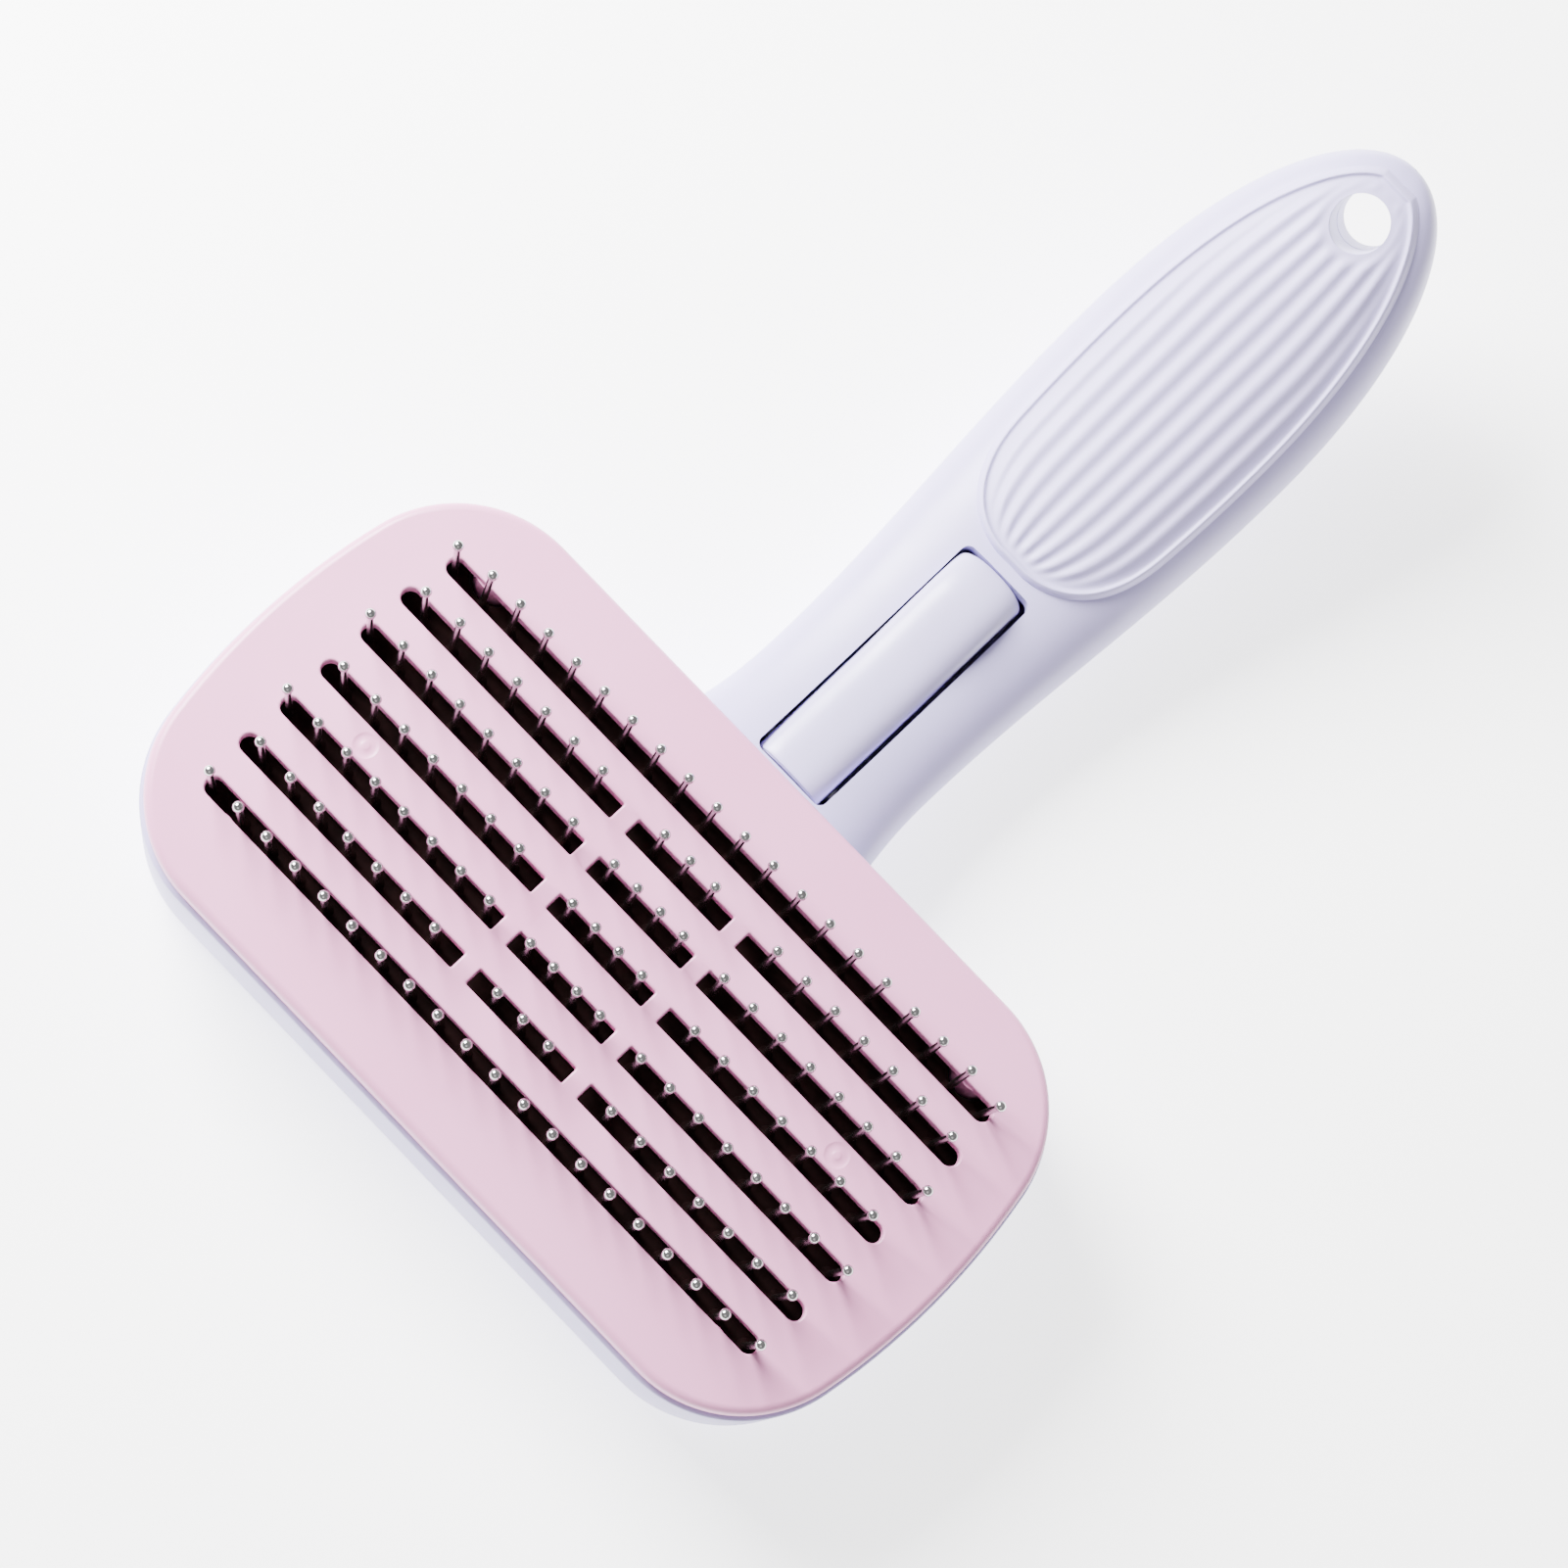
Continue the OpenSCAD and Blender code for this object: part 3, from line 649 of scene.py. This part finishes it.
def cushion():
    """Dark sheet with a soft raised collar round each pin; its red tint is painted light from the pink plate."""
    d = RIM_OUT - WALL - 0.5
    round_z = 0.4
    board_screw_r, board_screw_x, board_screw_y = 2.9, 53, 8
    rings = [at_head(head_outline(d), BOARD_TOP), at_head(head_outline(d), CUSHION_TOP - round_z),
             at_head(head_outline(d - 0.15), CUSHION_TOP - 0.1), at_head(head_outline(d - round_z), CUSHION_TOP)]
    obj = new_object("cushion_sheet", *loft(rings), MAT_RED_LIGHT_PAINTED, "housing", "cushion", ["pin_cushion"], sharp=50)
    holes = [lathe([(0, 0), (r, 0), (r, 8), (0, 8)], (x, HEAD_Y + y, BOARD_TOP - 4), (0, 0, 1), 32)
             for r, px, py in ((POST_R + 0.6, POST_X, POST_Y), (board_screw_r, board_screw_x, board_screw_y))
             for x in (-px, px) for y in (-py, py)]
    cut(obj, holes, sharp=50)
    collars = []
    profile = [(0, -0.2), (1.05, -0.2), (1.0, 0.05), (0.85, 0.22), (0.68, 0.38), (0.56, 0.5), (0, 0.5)]
    for k in ROWS:
        places = row_places(k)
        for i in range(len(places)):
            foot, step = pin_axis(k, i, places)
            collars.append(lathe(profile, foot, step, 20))
    new_object("cushion_collars", *merged(collars), MAT_RED_LIGHT_PAINTED, "housing", "cushion", sharp=50)


# ---- Finger lever ------------------------------------------------------------------------------
def smooth_through(points, count):
    """Points along a smooth curve through the given ones."""
    pts = [Vector((*p, 0)) for p in points]
    pts = [2 * pts[0] - pts[1]] + pts + [2 * pts[-1] - pts[-2]]
    out = []
    for i in range(1, len(pts) - 2):
        for k in range(count):
            t = k / count
            a, b, c, d = pts[i - 1], pts[i], pts[i + 1], pts[i + 2]
            p = 0.5 * (2 * b + (c - a) * t + (2 * a - 5 * b + 4 * c - d) * t * t + (3 * b - a - 3 * c + d) * t**3)
            out.append((p.x, p.y))
    return out + [tuple(points[-1])]


def finger_lever():
    """Finger bar with soft edges and a domed rear end, its arm, pivot barrel and link eye."""
    top_front = line(4)[1] + NECK_FRONT_T + 0.4
    rear_y, rear_z = line(42.1)
    rear_top = rear_z + thickness(42, 1) + 2.4
    front_y, front_z = SLOT_FRONT_Y + 0.4, top_front - 0.6
    upper = [(front_y, front_z), (front_y + 1.2, top_front - 0.03), (44, top_front - 0.55), (54, top_front - 0.55),
             (rear_y - 9, rear_top - 0.35), (rear_y - 5.2, rear_top - 0.03), (rear_y - 2.3, rear_top - 0.5),
             (rear_y - 0.6, rear_top - 1.4), (rear_y, rear_top - 2.8)]
    lower = [(rear_y - 1, rear_top - 10), (44, PIVOT_Z - 1.5), (PIVOT_Y, PIVOT_Z - 2), (front_y, PIVOT_Z + 4)]
    outline = [Vector(p) for p in smooth_through(upper, 10) + lower]
    top_count = len(outline) - len(lower)
    sections = []
    for k in range(49):
        t = -math.cos(math.pi * k / 48)
        fall = LEVER_CROWN * (1 - (1 - abs(t) ** 2.6) ** (1 / 2.0))
        ring = []
        for i, p in enumerate(outline):
            drop = fall if i < top_count else 0
            tail = 0.35 * drop * ease(p.x, rear_y - 5, rear_y)
            ring.append(Vector((t * LEVER_HW + LEVER_SHIFT, HEAD_Y + p.x - tail, p.y - drop)))
        sections.append(ring)
    bar = loft(sections)
    arm = prism_x([(0, LINK_Z - 2), (26, LINK_Z + 0.6), (PIVOT_Y, PIVOT_Z - 2.2), (PIVOT_Y, PIVOT_Z + 3),
                   (28, PIVOT_Z + 2), (0, LINK_Z + 2)], -3.4, 3.4)
    barrel = lathe([(0, 0), (2.8, 0), (3, 0.2), (3, 10), (2.8, 10.2), (0, 10.2)],
                   (-5.1, HEAD_Y + PIVOT_Y, PIVOT_Z), (1, 0, 0), 40)
    eye = lathe([(0, 0), (2.0, 0), (2.2, 0.2), (2.2, 6.6), (2.0, 6.8), (0, 6.8)],
                (-3.4, HEAD_Y, LINK_Z), (1, 0, 0), 40)
    new_object("finger_bar", *bar, LILAC_LEVER, "trigger", "lever", ["trigger_lever"], sharp=40)
    new_object("lever_arm", *merged([arm, barrel, eye]), LILAC_LEVER, "trigger", "lever", sharp=40)


# ---- CAD nodes that keep their shape -------------------------------------------------------------
def dress_cad_nodes():
    """Finishes for the hidden pieces, which keep their CAD shape; the lift frame's maroon is painted shade."""
    finishes = {"pin_board": BOARD, "lift_frame": PINK_FRAME_PAINTED_SHADE}
    for name in ("lift_frame_screws", "board_screws", "case_screws", "lever_pivot_pin", "lever_link_pin"):
        finishes[name] = SCREW_STEEL
    finishes.update({f"return_spring_{k}": SPRING_STEEL for k in range(1, 5)})
    for name, material in finishes.items():
        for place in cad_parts[name].material_slots:
            place.material = material


# ---- Stage ---------------------------------------------------------------------------------------
FLOOR_GLOW, ROOM_LIGHT = 2.7, 0.4
# Name: (place in metres, size in metres, power in watts)
LAMPS = {"key": ((-0.38, 0.02, 0.32), 0.26, 16.0), "fill": ((0.3, -0.5, 0.8), 0.6, 1.0)}
# Camera: place in mm from the point under the head's middle, turn about x, y and z in degrees
CAMERA_PLACE = (21.387, -81.774, 496.27)
CAMERA_TURN = (11.1523, -7.9406, 45.4226)
LENS_MM, SENSOR_MM = 89.944, 36


def studio():
    """Plain pale floor, a soft key from the upper left, a weaker fill and a pale room."""
    bpy.ops.mesh.primitive_plane_add(size=6, location=(0, 0, 0))
    floor = bpy.context.object
    floor.name = "floor"
    paper = plastic("floor_paper", (0.93, 0.93, 0.93), (0.94, 0.94, 0.94), rough=(0.8, 0.9), strength=0.02,
                    specular=0.1)
    shader = paper.node_tree.nodes["Principled BSDF"]
    shader.inputs["Emission Color"].default_value = (1, 1, 1, 1)
    shader.inputs["Emission Strength"].default_value = FLOOR_GLOW
    floor.data.materials.append(paper)
    world = bpy.data.worlds.new("room")
    bpy.context.scene.world = world
    world.use_nodes = True
    background = world.node_tree.nodes["Background"]
    background.inputs["Color"].default_value = (1, 1, 1, 1)
    background.inputs["Strength"].default_value = ROOM_LIGHT
    for name, (place, size, power) in LAMPS.items():
        data = bpy.data.lights.new(name, "AREA")
        data.size, data.energy = size, power
        lamp = bpy.data.objects.new(name, data)
        bpy.context.collection.objects.link(lamp)
        lamp.location = place
        lamp.rotation_euler = (-Vector(place)).to_track_quat("-Z", "Y").to_euler()


def camera():
    """Nearly straight above the head, turned so that the handle points up and to the right."""
    data = bpy.data.cameras.new("camera")
    data.sensor_width = SENSOR_MM
    data.lens = LENS_MM
    data.clip_start, data.clip_end = 0.01, 20
    obj = bpy.data.objects.new("camera", data)
    bpy.context.collection.objects.link(obj)
    obj.location = (Vector(CAMERA_PLACE) + Vector((0, HEAD_Y, 0))) * MM
    obj.rotation_euler = [math.radians(a) for a in CAMERA_TURN]
    bpy.context.scene.camera = obj


head_bowl()
handle_back()
handle_cover()
grip_pad()
stripper_plate()
cushion()
pins()
finger_lever()
dress_cad_nodes()
studio()
camera()
